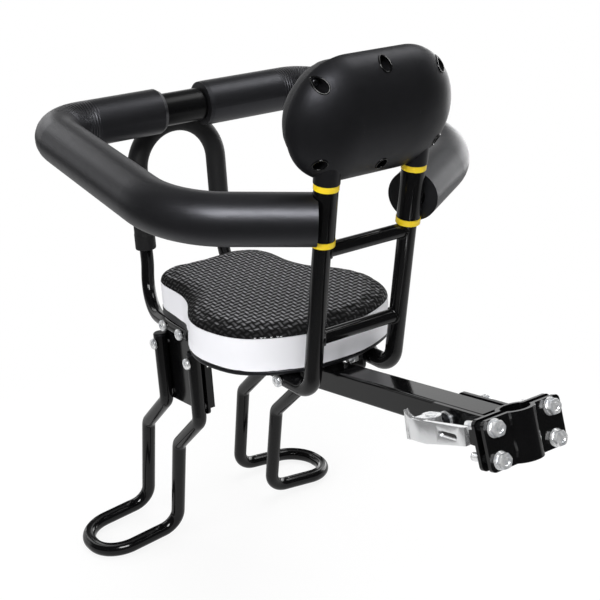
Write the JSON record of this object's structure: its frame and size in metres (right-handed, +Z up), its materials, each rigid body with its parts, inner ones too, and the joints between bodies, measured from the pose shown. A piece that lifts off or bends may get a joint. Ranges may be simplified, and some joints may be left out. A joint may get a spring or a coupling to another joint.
{
  "type": "child bicycle seat",
  "caption": "Clamp-on child bicycle seat: padded saddle on a beam, hinged foam guard ring, headrest on posts, front hand loop and wire footrests.",
  "frame": {"origin": "middle of the clamp's bore, on the axis of the bicycle post it grips", "axes": "+X to the child's right, +Y the way the child faces, +Z up with the seat pan level; the clamp's axis leans 16 degrees, its top towards +Y"},
  "size_m": [0.404, 0.6648, 0.6488],
  "materials": {
    "black_paint": "gloss black powder coat",
    "zinc_steel": "bright zinc plate",
    "lever_alloy": "polished casting",
    "dark_plastic": "fine grain",
    "coupler_plastic": "smooth gloss",
    "yellow_nylon": "smooth",
    "rail_foam": "closed-cell foam skin",
    "grip_rubber": "soft foam rubber",
    "white_vinyl": "smooth vinyl",
    "woven_cover": "herringbone weave",
    "pad_cloth": "plain cloth"
  },
  "bodies": {
    "frame": {"beam_end_plug": "dark_plastic", "beam_tube": "black_paint", "clamp_bolts": "zinc_steel", "clamp_bracket": "black_paint", "clamp_jaw": "black_paint", "clamp_nuts": "zinc_steel", "footrest_end_caps": "dark_plastic", "footrest_nuts": "zinc_steel", "footrest_screws": "zinc_steel", "front_crossmember": "black_paint", "handle_grip": "grip_rubber", "handle_tube": "black_paint", "headrest_board": "dark_plastic", "headrest_pad": "pad_cloth", "headrest_screws": "zinc_steel", "headrest_shell": "dark_plastic", "left_footrest": "black_paint", "left_footrest_bracket": "black_paint", "left_post": "black_paint", "lower_rung": "black_paint", "nylon_washers": "yellow_nylon", "pan_screws": "zinc_steel", "post_bolts": "zinc_steel", "post_nuts": "zinc_steel", "qr_barrel_pin": "zinc_steel", "qr_cam_cup": "dark_plastic", "qr_nut": "zinc_steel", "qr_skewer": "zinc_steel", "qr_washers": "zinc_steel", "rear_crossmember": "black_paint", "right_footrest": "black_paint", "right_footrest_bracket": "black_paint", "right_post": "black_paint", "seat_cover": "woven_cover", "seat_cushion": "white_vinyl", "seat_pan": "dark_plastic", "upper_rung": "black_paint"},
    "left_guard": {"left_hinge_sleeve": "black_paint", "left_rail_tube": "black_paint", "left_rail_foam": "rail_foam", "rail_coupler": "coupler_plastic"},
    "right_guard": {"right_hinge_sleeve": "black_paint", "right_rail_tube": "black_paint", "right_rail_foam": "rail_foam"},
    "lever": {"qr_lever": "lever_alloy"}
  },
  "joints": [
    {"name": "left_guard_hinge", "type": "hinge", "parent": "frame", "child": "left_guard", "pos_m": [-0.0521, 0.2071, 0.1662], "axis": [0, -0.1994, 0.9799], "range_deg": [0, 95]},
    {"name": "right_guard_hinge", "type": "hinge", "parent": "frame", "child": "right_guard", "pos_m": [0.0521, 0.2071, 0.1662], "axis": [0, -0.1994, 0.9799], "range_deg": [-95, 0]},
    {"name": "qr_lever_pivot", "type": "hinge", "parent": "frame", "child": "lever", "pos_m": [-0.036, 0.076, -0.0104], "axis": [0, -0.1435, -0.9897], "range_deg": [0, 58]}
  ],
  "couplings": [
    {"joint": "right_guard_hinge", "follows": "left_guard_hinge", "ratio": -1}
  ]
}
